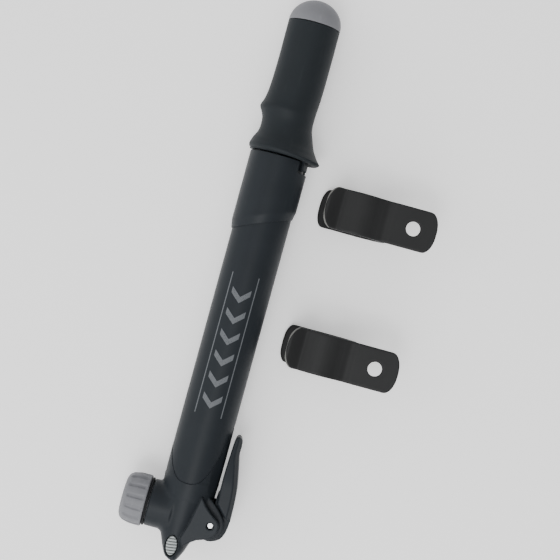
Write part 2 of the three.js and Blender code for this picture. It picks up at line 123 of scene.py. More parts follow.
# ---- shader maths ----
class Field:
    """A node's output, so that shader maths reads as an expression."""

    def __init__(self, finish, socket):
        self.finish = finish
        self.socket = socket

    def _math(self, operation, first, second=None):
        inputs = {0: first}
        if second is not None:
            inputs[1] = second
        return self.finish.node("ShaderNodeMath", {"operation": operation}, inputs)

    def __add__(self, other):
        return self._math("ADD", self, other)

    __radd__ = __add__

    def __sub__(self, other):
        return self._math("SUBTRACT", self, other)

    def __rsub__(self, other):
        return self._math("SUBTRACT", other, self)

    def __mul__(self, other):
        return self._math("MULTIPLY", self, other)

    __rmul__ = __mul__

    def __truediv__(self, other):
        return self._math("DIVIDE", self, other)

    def __lt__(self, other):
        return self._math("LESS_THAN", self, other)

    def __gt__(self, other):
        return self._math("GREATER_THAN", self, other)

    def __abs__(self):
        return self._math("ABSOLUTE", self)

    def modulo(self, period):
        return self._math("FLOORED_MODULO", self, period)

    def power(self, exponent):
        return self._math("POWER", self, exponent)

    def clamped(self):
        return self.finish.node("ShaderNodeClamp", {}, {0: self})


FINE_DEPTH = 0.012


class Finish:
    """A procedural material round one Principled shader."""

    def __init__(self, name, **constants):
        self.material = bpy.data.materials.new(name)
        self.material.use_nodes = True
        self.tree = self.material.node_tree
        self.shader = self.tree.nodes["Principled BSDF"]
        for socket, value in constants.items():
            self.shader.inputs[socket.replace("_", " ")].default_value = value

    def node(self, kind, settings, inputs, output=0):
        """Adds a node: its settings first, then the values or links of its inputs."""
        made = self.tree.nodes.new(kind)
        for setting, value in settings.items():
            setattr(made, setting, value)
        for key, value in inputs.items():
            if isinstance(value, Field):
                self.tree.links.new(value.socket, made.inputs[key])
            else:
                made.inputs[key].default_value = value
        return Field(self, made.outputs[output])

    def coordinates(self):
        return self.node("ShaderNodeTexCoord", {}, {}, "Object")

    def axes(self):
        """The Object coordinates in pump millimetres, as three values."""
        moved = self.node("ShaderNodeVectorMath", {"operation": "SUBTRACT"},
                          {0: self.coordinates(), 1: tuple(ORIGIN)})
        sized = self.node("ShaderNodeVectorMath", {"operation": "SCALE"}, {0: moved, "Scale": 1 / MM})
        return [self.node("ShaderNodeSeparateXYZ", {}, {0: sized}, i) for i in range(3)]

    def noise(self, size, detail=2.0, stretch=(1, 1, 1)):
        """Noise whose features measure about size millimetres, drawn out by stretch."""
        stretched = self.node("ShaderNodeVectorMath", {"operation": "DIVIDE"},
                              {0: self.coordinates(), 1: stretch})
        return self.node("ShaderNodeTexNoise", {},
                         {"Vector": stretched, "Scale": 1 / (size * MM), "Detail": detail})

    def mixed(self, factor, first, second):
        """A colour between two colours."""
        settings = {"data_type": "RGBA", "clamp_factor": True}
        colours = [c if isinstance(c, Field) else (*c, 1) for c in (first, second)]
        return self.node("ShaderNodeMix", settings, {0: factor, 6: colours[0], 7: colours[1]}, 2)

    def bump(self, height, depth=FINE_DEPTH):
        """A Bump node whose height of one stands depth millimetres proud."""
        return self.node("ShaderNodeBump", {},
                         {"Height": height, "Distance": depth * MM, "Strength": 1.0})

    def feed(self, **links):
        """Links what changes over the surface to the shader's sockets and gives the material."""
        for socket, value in links.items():
            self.tree.links.new(value.socket, self.shader.inputs[socket.replace("_", " ")])
        return self.material


def scaled(colour, factor, lift=0.0):
    """A colour times a factor, lifted towards grey."""
    return tuple(c * factor + lift for c in colour)


class Plastic(Finish):
    """Injection-moulded plastic: a fine eroded grain over a slow mottle from its flow."""

    def __init__(self, name, grain=0.25):
        super().__init__(name, Specular_IOR_Level=0.14)
        self.fine = self.noise(grain, 2.0)
        self.flow = self.noise(9.0, 3.0)

    def mottled(self, factor, colour, spread):
        """The colour, varied by the spread to its darker and lighter sides."""
        return self.mixed(factor, scaled(colour, 1 - spread), scaled(colour, 1 + spread))

    def rough(self, roughness):
        """The roughness, varied by the grain and the flow."""
        return roughness + (self.fine - 0.5) * 0.16 + (self.flow - 0.5) * 0.10


def moulded(name, colour, roughness, grain=0.25, grain_depth=FINE_DEPTH, mottle=0.10):
    """Plain moulded plastic, with small scuffs along the pump."""
    finish = Plastic(name, grain)
    scuffs = finish.noise(2.2, 6.0, (1, 6, 1))
    scuffed = ((scuffs - 0.60) * 5).clamped()
    shade = ((finish.flow - 0.5) * 2.2 + (finish.fine - 0.5) * 0.6) * 0.5 + 0.5
    body = finish.mottled(shade, colour, mottle)
    return finish.feed(Base_Color=finish.mixed(scuffed * 0.35, body, scaled(colour, 1.35, 0.006)),
                       Roughness=finish.rough(roughness) + scuffed * 0.07,
                       Normal=finish.bump(finish.fine, grain_depth))


def clip_moulding(name, colour, roughness):
    """Clip plastic with a painted highlight: a pale strip along the bowed end of each upper lip, where
    its rounded edge would catch the light.

    The end's place is lip end + bow (1 - sqrt(1 - across^2)), with across from 0 to 1 at the sides.
    """
    # width and grey of the painted highlight along the upper lips' ends
    highlight_width, highlight_grey = 0.62, (0.20, 0.20, 0.19)
    finish = Plastic(name)
    x, y, z = finish.axes()
    first, second = CLIP_PLACES
    across = abs(abs(y - (first + second) / 2) - abs(first - second) / 2) * (1 / CLIP_HALF)
    end = (1 - (1 - across * across).clamped().power(0.5)) * LIP_BOW + LIP_END
    # painted highlight: a pale strip on each upper lip's end stands in for light caught by its rounded
    # edge
    painted_highlight = ((x - CLIP_CENTRE - end) < highlight_width) * (z > 2) * (finish.fine * 0.5 + 0.5)
    body = finish.mottled(finish.flow, colour, 0.12)
    return finish.feed(Base_Color=finish.mixed(painted_highlight, body, highlight_grey),
                       Roughness=finish.rough(roughness), Normal=finish.bump(finish.fine))


BLACK = (0.0165, 0.0200, 0.0240)
PRINT_GREY = (0.125, 0.134, 0.145)
PRINT_CENTRE, PRINT_LOW, PRINT_HIGH = -0.4, 66.0, 120.0
ARROW_PITCH, ARROW_THICK, ARROW_REACH, ARROW_SLANT = 9.0, 2.6, 4.0, 0.9
RULE_PLACE, RULE_HALF, RULE_OVERRUN = 5.6, 0.20, 3


def printed_barrel(name, colour, roughness):
    """The barrel's plastic with a plain pad print: a row of arrowheads between two rules."""
    finish = Plastic(name)
    x, y, z = finish.axes()
    across = abs(x - PRINT_CENTRE)
    along = (y - PRINT_LOW - across * ARROW_SLANT).modulo(ARROW_PITCH)
    heads = (along < ARROW_THICK) * (across < ARROW_REACH) * (y > PRINT_LOW) * (y < PRINT_HIGH)
    rules = ((abs(across - RULE_PLACE) < RULE_HALF)
             * (y > PRINT_LOW - RULE_OVERRUN) * (y < PRINT_HIGH + RULE_OVERRUN))
    ink = (heads + rules).clamped() * (z > 0) * ((finish.fine - 0.30) * 9).clamped()
    body = finish.mottled(finish.flow, colour, 0.10)
    return finish.feed(Base_Color=finish.mixed(ink, body, PRINT_GREY),
                       Roughness=finish.rough(roughness) - ink * 0.06,
                       Normal=finish.bump(finish.fine + ink * 0.8))


def soft_rubber(name, colour, roughness):
    """Moulded rubber: matt, with a powdery bloom and a fine pebble."""
    finish = Finish(name, Specular_IOR_Level=0.35)
    bloom = finish.noise(3.0, 4.0)
    pebble = finish.noise(0.12, 1.0)
    skin = finish.mixed(((bloom - 0.45) * 3).clamped(), colour, scaled(colour, 0.85, 0.02))
    return finish.feed(Base_Color=skin, Roughness=roughness + (bloom - 0.5) * 0.2,
                       Normal=finish.bump(pebble))


def ribbed_rubber(name, colour):
    """Pale rubber, darkened by painted shade in the grooves between the ribs."""
    groove_start, groove_shade = 0.24, 0.22
    finish = Finish(name, Specular_IOR_Level=0.3)
    x, y, _ = finish.axes()
    phase = ((y - x * RIB_LEAN - INLAY_Y) / RIB_PITCH + 0.5).modulo(1.0)
    groove = ((abs(phase - 0.5) - groove_start) * 7).clamped()
    fine = finish.noise(0.2, 2.0)
    # painted shade: the colour darkens in the grooves between the ribs, where shade falls
    shade = finish.mixed(groove * (fine * 0.3 + 0.75), colour, scaled(colour, groove_shade))
    return finish.feed(Base_Color=shade, Roughness=fine * 0.15 + 0.5, Normal=finish.bump(fine))


def drawn_metal(name, colour, roughness, stretch):
    """Drawn or turned metal: fine lines along the stretch, and a faint smudge."""
    finish = Finish(name, Metallic=1.0)
    lines = finish.noise(0.10, 3.0, stretch)
    smudge = finish.noise(6.0, 2.0)
    return finish.feed(Base_Color=finish.mixed(smudge, scaled(colour, 0.88), colour),
                       Roughness=roughness + (lines - 0.5) * 0.25 + (smudge - 0.5) * 0.1,
                       Normal=finish.bump(lines, FINE_DEPTH / 2))


FINISHES = {
    "barrel": printed_barrel("printed black plastic", BLACK, 0.44),
    "black_plastic": moulded("black plastic", BLACK, 0.44),
    "black_matte": moulded("matt black plastic", (0.009, 0.010, 0.011), 0.62),
    "grip_plastic": moulded("grip plastic", (0.0150, 0.0185, 0.0215), 0.55, 0.35, 0.03),
    "clip_plastic": clip_moulding("clip plastic", (0.0205, 0.021, 0.0215), 0.44),
    "grey_plastic": moulded("grey plastic", (0.185, 0.188, 0.202), 0.50, mottle=0.06),
    "pale_rubber": ribbed_rubber("pale rubber", (0.38, 0.41, 0.41)),
    "seal_rubber": soft_rubber("seal rubber", (0.014, 0.014, 0.015), 0.5),
    "white_plastic": moulded("white acetal", (0.74, 0.74, 0.71), 0.38, mottle=0.03),
    "steel": drawn_metal("turned steel", (0.62, 0.63, 0.64), 0.32, (1, 1, 0.06)),
    "aluminium": drawn_metal("drawn aluminium", (0.46, 0.47, 0.49), 0.34, (1, 40, 1)),
}


# ---- meshes ----
def stand(name, data):
    """Puts a new object into the scene."""
    made = bpy.data.objects.new(name, data)
    bpy.context.scene.collection.objects.link(made)
    return made


def mesh_object(name, points, faces):
    """A smooth-shaded mesh of four-sided faces, closed along its seams and at its poles."""
    mesh = bpy.data.meshes.new(name)
    mesh.vertices.add(len(points))
    mesh.vertices.foreach_set("co", place(points).ravel())
    mesh.loops.add(faces.size)
    mesh.loops.foreach_set("vertex_index", faces.ravel().astype(np.int32))
    mesh.polygons.add(len(faces))
    mesh.polygons.foreach_set("loop_start", np.arange(len(faces), dtype=np.int32) * 4)
    mesh.update(calc_edges=True)
    work = bmesh.new()
    work.from_mesh(mesh)
    bmesh.ops.remove_doubles(work, verts=work.verts, dist=1e-7)
    bmesh.ops.dissolve_degenerate(work, dist=1e-8, edges=work.edges)
    if work.calc_volume(signed=True) < 0:
        bmesh.ops.reverse_faces(work, faces=work.faces)
    for face in work.faces:
        face.smooth = True
    work.to_mesh(mesh)
    work.free()
    return stand(name, mesh)


def dress(piece, body, finish, replaced):
    """Gives a piece its finish, its body and the CAD nodes that it stands for."""
    piece.data.materials.append(FINISHES[finish])
    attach(piece, body)
    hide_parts(*replaced)


def grid_faces(rows, columns):
    """The four-sided faces between neighbouring points of a grid, row by row."""
    index = np.arange(rows * columns).reshape(rows, columns)
    corners = [index[:-1, :-1], index[1:, :-1], index[1:, 1:], index[:-1, 1:]]
    return np.stack(corners, -1).reshape(-1, 4)


def grid_object(name, grid):
    """A mesh from a grid of points, its last row or column on its first where the shape closes."""
    rows, columns = grid.shape[:2]
    return mesh_object(name, grid.reshape(-1, 3), grid_faces(rows, columns))


def rounded(outline, radius=0.3, steps=5, closed=True):
    """An outline with each corner turned into an arc of the radius, or less on a short side.

    The arc runs from one side to the other on a parabola through the two points where it starts and
    ends, and a further point on each side keeps the flat stretch flat in the shading.
    """
    outline = [np.array(p, float) for p in outline]
    count = len(outline)
    result = []
    blend = np.linspace(0, 1, steps + 1)[:, None]
    for i, corner in enumerate(outline):
        if not closed and i in (0, count - 1):
            result.append(corner[None])
            continue
        before, after = outline[i - 1] - corner, outline[(i + 1) % count] - corner
        long_before, long_after = np.linalg.norm(before), np.linalg.norm(after)
        cut = min(radius, 0.45 * long_before, 0.45 * long_after)
        start, end = corner + before / long_before * cut, corner + after / long_after * cut
        lead = min(0.35 * cut, 0.04 * min(long_before, long_after))
        ahead, behind = start + before / long_before * lead, end + after / long_after * lead
        curve = (1 - blend) ** 2 * start + 2 * blend * (1 - blend) * corner + blend ** 2 * end
        result.append(np.vstack([ahead, curve, behind]))
    result = np.vstack(result)
    return np.vstack([result, result[:1]]) if closed else result


def turns(count=160, extra=()):
    """Angles once round, with a finer stretch about each angle in extra."""
    fine = [np.linspace(a - 0.02, a + 0.02, 9) for a in extra]
    angles = np.unique(np.concatenate([np.linspace(0, TAU, count + 1)] + fine))
    return angles[(angles >= 0) & (angles <= TAU)]


def about_y(name, outline, angles=None, shift=0):
    """An outline of (radius, y) turned about the pump's axis: x = r cos a + shift, z = r sin a.

    outline may also be a function of the angles that gives arrays (radius, y) with a row per angle.
    """
    angles = turns() if angles is None else angles
    if callable(outline):
        radius, y = outline(angles)
    else:
        radius = np.broadcast_to(outline[:, 0], (len(angles), len(outline)))
        y = np.broadcast_to(outline[:, 1], radius.shape)
    x = radius * np.cos(angles)[:, None] + shift
    z = radius * np.sin(angles)[:, None]
    return grid_object(name, np.stack([x, y, z], -1))


def about_x(name, outline, y, angles=None, depth=None):
    """An outline of (radius, x) turned about a line along X at y: y = y + r cos a, z = r sin a.

    depth(a, x, r) gives what is taken off the radius.
    """
    angles = turns() if angles is None else angles
    radius = np.broadcast_to(outline[:, 0], (len(angles), len(outline)))
    x = np.broadcast_to(outline[:, 1], radius.shape)
    if depth:
        radius = radius - depth(angles[:, None], x, radius)
    grid = np.stack([x, y + radius * np.cos(angles)[:, None], radius * np.sin(angles)[:, None]], -1)
    return grid_object(name, grid)


def about_z(name, outline, x, y):
    """An outline of (radius, z) turned about a line along Z: x = x + r cos a, y = y + r sin a."""
    angles = turns(96)
    radius = outline[:, 0][None, :]
    z = np.broadcast_to(outline[:, 1], (len(angles), len(outline)))
    across = x + radius * np.cos(angles)[:, None]
    along = y + radius * np.sin(angles)[:, None]
    return grid_object(name, np.stack([across, along, z], -1))


def step_between(value, low, high):
    """A smooth rise from 0 at low to 1 at high."""
    t = np.clip((value - low) / (high - low), 0, 1)
    return t * t * (3 - 2 * t)


def through(stations, at):
    """A smooth curve through stations (place, value, ...), one array per value.

    It is made of cubic pieces whose slope at a station is that of the chord between its neighbours.
    """
    table = np.array(stations, float)
    knots, values = table[:, 0], table[:, 1:]
    slopes = np.gradient(values, knots, axis=0)
    at = np.clip(np.asarray(at, float), knots[0], knots[-1])
    piece = np.clip(np.searchsorted(knots, at, "right") - 1, 0, len(knots) - 2)
    width = knots[piece + 1] - knots[piece]
    t = ((at - knots[piece]) / width)[..., None]
    width = width[..., None]
    start, end = values[piece], values[piece + 1]
    curve = ((1 + 2 * t) * (1 - t) ** 2 * start + t * (1 - t) ** 2 * width * slopes[piece]
             + t * t * (3 - 2 * t) * end - t * t * (1 - t) * width * slopes[piece + 1])
    return [curve[..., i] for i in range(curve.shape[-1])]


# ---- shapes given by a distance field ----
def joined(a, b, blend):
    """The union of two fields with a fillet about as wide as blend."""
    h = np.clip(0.5 + 0.5 * (b - a) / blend, 0, 1)
    return b + (a - b) * h - blend * h * (1 - h)


def common(a, b, blend):
    """What two fields share, its edge rounded by blend."""
    return -joined(-a, -b, blend)


def without(a, b, blend):
    """The first field with the second cut out of it."""
    return common(a, -b, blend)


def outline_distance(x, y, outline):
    """Signed distance in a plane to a closed outline: the least over its sides, negative inside."""
    outline = np.asarray(outline, float)
    nearest = np.full(x.shape, 1e9)
    sign = np.ones(x.shape)
    for (ax, ay), (bx, by) in zip(outline, np.roll(outline, -1, axis=0)):
        ex, ey = bx - ax, by - ay
        wx, wy = x - ax, y - ay
        t = np.clip((wx * ex + wy * ey) / (ex * ex + ey * ey), 0, 1)
        nearest = np.minimum(nearest, (wx - ex * t) ** 2 + (wy - ey * t) ** 2)
        above, below = y >= ay, y < by
        left = ex * wy > ey * wx
        sign = np.where((above & below & left) | (~above & ~below & ~left), -sign, sign)
    return sign * np.sqrt(nearest)


def slab(flat, height, half, edge):
    """A plane field given a thickness of twice half, its edges rounded by edge."""
    dx, dz = flat + edge, np.abs(height) - half + edge
    outside = np.hypot(np.maximum(dx, 0), np.maximum(dz, 0))
    return np.minimum(np.maximum(dx, dz), 0) + outside - edge


def rod_field(radial, along, low, high, radius, edge):
    """A round bar: radial is the distance from its axis, along the place on it."""
    return slab(radial - radius, along - (low + high) / 2, (high - low) / 2, edge)


def field_object(name, field, low, high, cell):
    """The surface where a field is zero, as a net of four-sided faces.

    Each cell that the surface crosses gets one point, the mean of the crossings on its edges, then
    moved onto the surface along the field's slope; each grid edge that crosses gets one face.
    """
    low, high = np.array(low, float), np.array(high, float)
    counts = np.ceil((high - low) / cell).astype(int) + 1
    axes = [low[i] + cell * np.arange(counts[i]) for i in range(3)]
    value = field(*np.meshgrid(*axes, indexing="ij", sparse=True)) + np.zeros(counts)
    inside = value < 0
    cells = counts - 1
    total = np.zeros((*cells, 3))
    number = np.zeros(cells)
    edges = []
    for axis in range(3):
        others = [i for i in range(3) if i != axis]
        first = [slice(None)] * 3
        second = [slice(None)] * 3
        first[axis], second[axis] = slice(0, -1), slice(1, None)
        a, b = value[tuple(first)], value[tuple(second)]
        where = np.argwhere((a < 0) != (b < 0))
        at = tuple(where.T)
        crossing = where.astype(float)
        crossing[:, axis] += a[at] / (a[at] - b[at])
        neighbours = []
        for du, dv in ((0, 0), (1, 0), (1, 1), (0, 1)):
            cell_at = where.copy()
            cell_at[:, others[0]] -= du
            cell_at[:, others[1]] -= dv
            neighbours.append(cell_at)
            np.add.at(total, tuple(cell_at.T), crossing)
            np.add.at(number, tuple(cell_at.T), 1)
        edges.append((axis, inside[tuple(first)][at], neighbours))
    used = np.argwhere(number > 0)
    at = tuple(used.T)
    points = low + cell * total[at] / number[at][:, None]
    index = np.full(tuple(cells), -1)
    index[at] = np.arange(len(used))
    for _ in range(3):
        points = onto_surface(points, field, cell)
    faces = []
    for axis, starts_inside, neighbours in edges:
        quad = np.stack([index[tuple(c.T)] for c in neighbours], -1)
        flip = starts_inside != (axis == 1)
        faces.append(np.where(flip[:, None], quad, quad[:, ::-1]))
    return mesh_object(name, points, np.vstack(faces))


def onto_surface(points, field, cell):
    """One step towards the field's zero along its slope, no longer than half a cell."""
    reach, least_slope = 0.02, 0.05
    x, y, z = points.T
    value = field(x, y, z)
    slope = np.stack([
        field(x + reach, y, z) - field(x - reach, y, z),
        field(x, y + reach, z) - field(x, y - reach, z),
        field(x, y, z + reach) - field(x, y, z - reach),
    ], -1) / (2 * reach)
    step = -value[:, None] * slope / np.maximum((slope ** 2).sum(-1), least_slope)[:, None]
    length = np.linalg.norm(step, axis=1, keepdims=True)
    return points + step * np.minimum(1, 0.5 * cell / np.maximum(length, 1e-9))


# ---- barrel and collar ----
SEAM_CENTRE, SEAM_WIDTH, SEAM_LOW, SEAM_RISE, SEAM_GAP = -1.4, 10.2, 33.9, 13.0, 0.03


def seam_height(x):
    """The U-shaped seam between head and barrel: its low point plus a cubic rise to each side."""
    return SEAM_LOW + SEAM_RISE * np.abs((x - SEAM_CENTRE) / SEAM_WIDTH) ** 3


def make_barrel():
    """The barrel: a section turned about the axis, its outer wall starting at the head's seam."""
    spigot, bore, well, floor = 10.2, 9.0, 3.6, 33.5
    seal_groove, groove_low, groove_high = 9.5, 29.4, 30.6
    neck, halfway = 10.85, 100

    def outline(angles):
        """A closed section whose outer wall starts at the seam's height for that angle."""
        top = rounded([
            (bore, BARREL_TOP), (neck, BARREL_TOP), (neck, 169.2), (BARREL_R, 168.8),
            (BARREL_R, halfway),
        ], 0.4, closed=False)
        ledge = rounded([(BARREL_R, halfway), (BARREL_R, 0), (spigot, 0)], 0.2, closed=False)[1:]
        inner = rounded([
            (spigot, 31.2), (spigot, groove_high), (seal_groove, groove_high), (seal_groove, groove_low),
            (spigot, groove_low), (spigot, BARREL_LOW), (well, BARREL_LOW), (well, floor), (bore, floor),
            (bore, BARREL_TOP),
        ], 0.2, 3, closed=False)
        seam = seam_height(BARREL_R * np.cos(angles)) + SEAM_GAP
        count = len(angles)
        moved = np.broadcast_to(ledge, (count, *ledge.shape)).copy()
        moved[:, :, 1] += seam[:, None]
        fixed = [np.broadcast_to(p, (count, *p.shape)) for p in (top, inner)]
        section = np.concatenate([fixed[0], moved, fixed[1]], axis=1)
        return section[..., 0], section[..., 1]

    piece = about_y("barrel_shell", outline, turns(200))
    dress(piece, "barrel", "barrel", ["barrel_tube"])


NOTCH_FROM, NOTCH_TO, NOTCH_LOW = math.radians(-18), math.radians(46), 169.6


def make_collar():
    """The collar: a turned wall whose lower edge rises with slant times r cos a, and the notch."""
    edge_centre, edge_slant = 147.2, 0.378
    bore, neck_bore, rod_hole, under_lid = 11.95, 10.95, 6.2, 172.2
    floor_r, slack = 11.08, 0.02

    def outline(angles):
        """A wall whose lower edge slants, thinned to the barrel inside the notch."""
        edge = edge_centre + edge_slant * COLLAR_R * np.cos(angles)
        lower = rounded([
            (bore, 6), (11.72, -1.9), (bore, -1.9), (COLLAR_R, 1.7), (COLLAR_R, 6),
        ], 0.5, closed=False)
        upper = rounded([
            (COLLAR_R, 158), (COLLAR_R, NOTCH_LOW - 0.25), (COLLAR_R, NOTCH_LOW + 0.25),
            (COLLAR_R, COLLAR_TOP), (rod_hole, COLLAR_TOP), (rod_hole, under_lid),
            (neck_bore, under_lid), (neck_bore, 169.6), (bore, 169.2), (bore, 165),
        ], 0.35, closed=False)
        count = len(angles)
        section = [np.broadcast_to(p, (count, *p.shape)).copy() for p in (lower, upper)]
        section[0][:, :, 1] += edge[:, None]
        section = np.concatenate([*section, section[0][:, :1]], axis=1)
        radius, y = section[..., 0], section[..., 1]
        centre, half = (NOTCH_FROM + NOTCH_TO) / 2, (NOTCH_TO - NOTCH_FROM) / 2
        away = np.abs((angles - centre + math.pi) % TAU - math.pi)
        across = 1 - step_between(away, half - 0.012, half + 0.012)
        up = step_between(y, NOTCH_LOW - 0.2, NOTCH_LOW + 0.2)
        depth = across[:, None] * up
        return np.where(radius > floor_r + slack, radius - depth * (radius - floor_r), radius), y

    piece = about_y("collar", outline, turns(200, [NOTCH_FROM % TAU, NOTCH_TO]))
    dress(piece, "barrel", "black_plastic", ["lock_collar"])


def make_bush_and_rod():
    """The guide at the barrel's mouth and the rod that slides in it, both turned."""
    bush_low, bush_high, bush_r, bush_bore = 166, 171.6, 8.7, 4.0
    bush = about_y("rod_guide", rounded([
        (bush_bore, bush_low), (bush_r, bush_low), (bush_r, bush_high), (bush_bore, bush_high),
    ], 0.4))
    dress(bush, "barrel", "white_plastic", ["rod_bush"])
    tap_r, tap_end = 1.8, 47.6
    rod = about_y("rod", rounded([
        (0, tap_end), (tap_r, tap_end), (tap_r, ROD_LOW), (ROD_R, ROD_LOW), (ROD_R, ROD_TOP),
        (0, ROD_TOP),
    ], 0.4, closed=False), turns(96))
    dress(rod, "handle", "aluminium", ["piston_rod"])


# ---- head ----
BOSS_R, BOSS_FACE, BOSS_ROOT = 9.9, -14.5, -4.6
EAR_INNER, EAR_OUTER, EAR_SLOPE = 5.9, 8.3, 0.085
SLOT_R = 8.0


def nose_shape(y):
    """Middle, half width, half height and squareness of the head's flanks at y."""
    return through([
        (0.0, 1.0, 0.6, 4.6, 2.1),
        (0.3, 0.9, 1.4, 5.3, 2.1),
        (1.0, 0.6, 2.5, 6.2, 2.2),
        (2.5, 0.25, 3.7, 7.0, 2.3),
        (4.3, 0.1, 4.7, 7.4, 2.4),
        (7.0, 0.0, 5.7, 7.7, 2.4),
        (9.4, 0.0, 6.7, 7.9, 2.4),
        (15.0, 0.0, 9.0, 8.6, 2.4),
        (20.0, 0.0, 10.1, 9.2, 2.3),
        (24.0, 0.0, 10.6, 9.8, 2.2),
        (29.0, 0.0, 10.8, 10.5, 2.1),
        (34.0, 0.0, 10.9, 10.8, 2.0),
    ], y)


def spine_shape(y):
    """Middle, radius and top of the rounded spine that runs from the barrel down to the nose."""
    return through([
        (0.0, 0.2, 2.2, 5.4),
        (1.0, 0.0, 2.5, 6.7),
        (3.0, -0.4, 2.9, 7.7),
        (8.0, -0.5, 3.4, 8.4),
        (10.8, -0.5, 4.0, 8.7),
        (13.8, -0.5, 4.8, 9.2),
        (16.3, -0.5, 5.6, 9.7),
        (20.6, -0.4, 6.8, 10.4),
        (25.0, -0.2, 8.4, 10.8),
        (30.0, 0.0, 10.0, 11.1),
        (34.0, 0.0, 10.8, 11.2),
    ], y)


def body_field(x, y, z):
    """The head's body: tapering ovals along Y with a rounded spine above and below."""
    centre, width, height, square = nose_shape(y)
    across = np.abs(x - centre) / width
    ratio = (across ** square + (np.abs(z) / height) ** square + 1e-9) ** (1 / square)
    flanks = (ratio - 1) * np.minimum(width, height) * 0.9
    centre, radius, top = spine_shape(y)
    spine = np.hypot(x - centre, np.maximum(np.abs(z) - (top - radius), 0)) - radius
    spine = common(spine, (ratio - 1.12) * width, 0.6)
    return common(joined(flanks, spine * 0.95, 0.9), np.maximum(-y, y - 34.5), 0.4)


# the ears' outlines (x, y): a low ledge all round, and the raised face on it
EAR_LEDGE = [
    (6.0, 31.4), (9.6, 29.6), (11.6, 28.2), (13.4, 26.7), (15.2, 24.9), (16.8, 23.0), (17.8, 21.0),
    (18.2, 19.0), (18.1, 17.0), (17.3, 15.2), (16.0, 14.0), (14.0, 13.0), (11.0, 12.1), (8.6, 11.3),
    (6.8, 10.0), (2.4, 10.0), (0.0, 20.0),
]
EAR_FACE = [
    (6.3, 30.0), (7.2, 28.6), (8.5, 26.9), (10.9, 24.6), (12.8, 23.2), (14.7, 21.9), (15.7, 20.7),
    (16.2, 19.0), (16.0, 17.0), (15.1, 15.1), (13.6, 13.6), (11.0, 12.6), (8.4, 11.7), (5.8, 9.8),
    (3.4, 7.4), (1.9, 10.8), (2.7, 13.8), (3.6, 16.3), (4.5, 20.6), (5.4, 25.6),
]


def inlay_centre(y):
    """The inlay's middle line leans a little across the nose."""
    return INLAY_X - 0.05 * (y - INLAY_Y)


def head_field(x, y, z):
    """The head: body, barrel sleeve, boss and ears joined, then its slot and hollows cut out."""
    from_axis = np.hypot(x, z)
    from_socket = np.hypot(y - SOCKET_Y, z)
    from_pin = np.hypot(x - PIN_X, y - PIN_Y)
    sleeve_r = through([
        (24, 10.3), (28, 10.95), (32, 11.3), (36, 11.5), (42, 11.6), (62, 11.6),
    ], y)[0]
    sleeve = common(from_axis - sleeve_r, 27.0 - y, 1.6)
    # a flat on each side of the wing that faces the lever, fading out at both ends
    flat_turn, flat_middle, flat_depth = math.radians(36), 41, 11.15
    flat = (x * math.cos(flat_turn) + np.abs(z) * math.sin(flat_turn)
            - (flat_depth + ((y - flat_middle) / 12) ** 2 * 0.5))
    seam_slope = 3 * SEAM_RISE / SEAM_WIDTH ** 3 * (x - SEAM_CENTRE) ** 2
    below_seam = (y - seam_height(x)) / np.sqrt(1 + seam_slope ** 2)
    boss = rod_field(from_socket, x, BOSS_FACE, BOSS_ROOT, BOSS_R, 0.5)
    ledge = slab(outline_distance(x, y, EAR_LEDGE), z, 7.3, 0.5)
    face_half = EAR_OUTER + 0.2 + EAR_SLOPE * (y - PIN_Y)
    face = slab(outline_distance(x, y, EAR_FACE), np.abs(z) - face_half, 1.6, 0.35)
    head = joined(body_field(x, y, z), sleeve, 1.2)
    head = common(common(head, flat, 0.12), below_seam, 0.12)
    head = joined(head, boss, 1.7)
    head = joined(joined(head, ledge, 0.5), face, 0.25)
    slot_top = np.maximum(11.5 - x, np.abs(y - 29.25) - 4.75)
    slot_side = np.maximum(PIN_X - x, np.abs(y - 18) - 14)
    slot = np.minimum(np.minimum(from_pin - SLOT_R, slot_side), slot_top)
    slack = 0.3
    u = (x - inlay_centre(y)) / (INLAY_HALF_WIDTH + slack)
    v = (y - INLAY_Y) / (INLAY_HALF_LENGTH + slack)
    pocket = (np.hypot(u, v) - 1) * INLAY_HALF_WIDTH
    for hollow, edge in (
        (np.maximum(slot, np.abs(z) - EAR_INNER), 0.3),  # the lever's slot
        (np.maximum(from_axis - 10.5, 28.3 - y), 0.25),  # the barrel's spigot
        (np.maximum(from_socket - 8.2, x + 5.0), 0.3),  # the nut's neck
        (np.maximum(from_socket - 6.8, np.abs(x + 2.2) - 3.9), 0.2),  # the plunger's head
        (np.maximum(from_socket - 3.3, np.abs(x - 3.5) - 3.5), 0.2),  # the plunger's stem
        (np.maximum(np.hypot(x + 2.5, z) - 1.0, np.abs(y - 26.5) - 2.5), 0.2),  # the air channel
        (from_pin - 1.5, 0.3),  # the pin
        (np.maximum(pocket, 5.1 - np.abs(z)), 0.2),  # the inlays
    ):
        head = without(head, hollow, edge)
    return head


def make_head():
    piece = field_object("head_shell", head_field, (-15.2, -0.9, -12.6), (19.1, 62.2, 12.6), 0.36)
    dress(piece, "barrel", "black_plastic", ["head_housing"])


